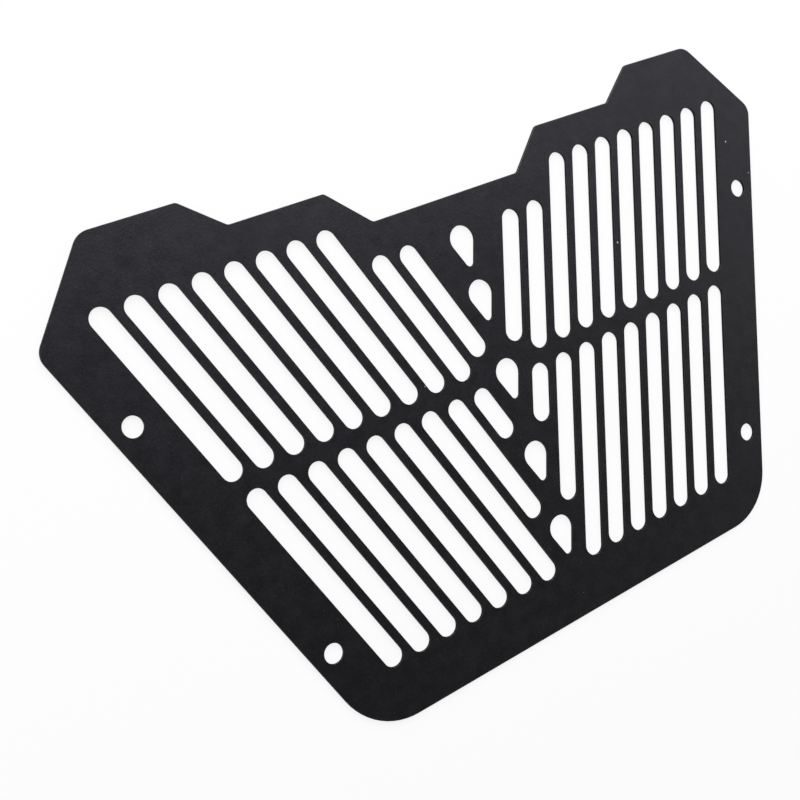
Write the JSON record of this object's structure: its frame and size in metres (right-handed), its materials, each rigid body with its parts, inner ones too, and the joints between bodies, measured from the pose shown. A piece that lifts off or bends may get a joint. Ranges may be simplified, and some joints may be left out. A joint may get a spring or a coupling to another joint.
{
  "type": "motorcycle skid plate",
  "caption": "Flat slotted guard plate of powder-coated sheet steel with a stepped top edge, leaning vent slots and bolt holes near its sides.",
  "frame": {"origin": "on the back face, under the middle of the outline's box; the plate lies on its back", "axes": "+X across the plate to its right side as the front is seen, +Y from the foot edge to the ears, +Z out of the front face"},
  "size_m": [0.3978, 0.247, 0.0015],
  "materials": {
    "powder_coat": "satin black powder coat with a fine texture"
  },
  "bodies": {
    "root": {"skid_plate": "powder_coat"}
  },
  "joints": []
}
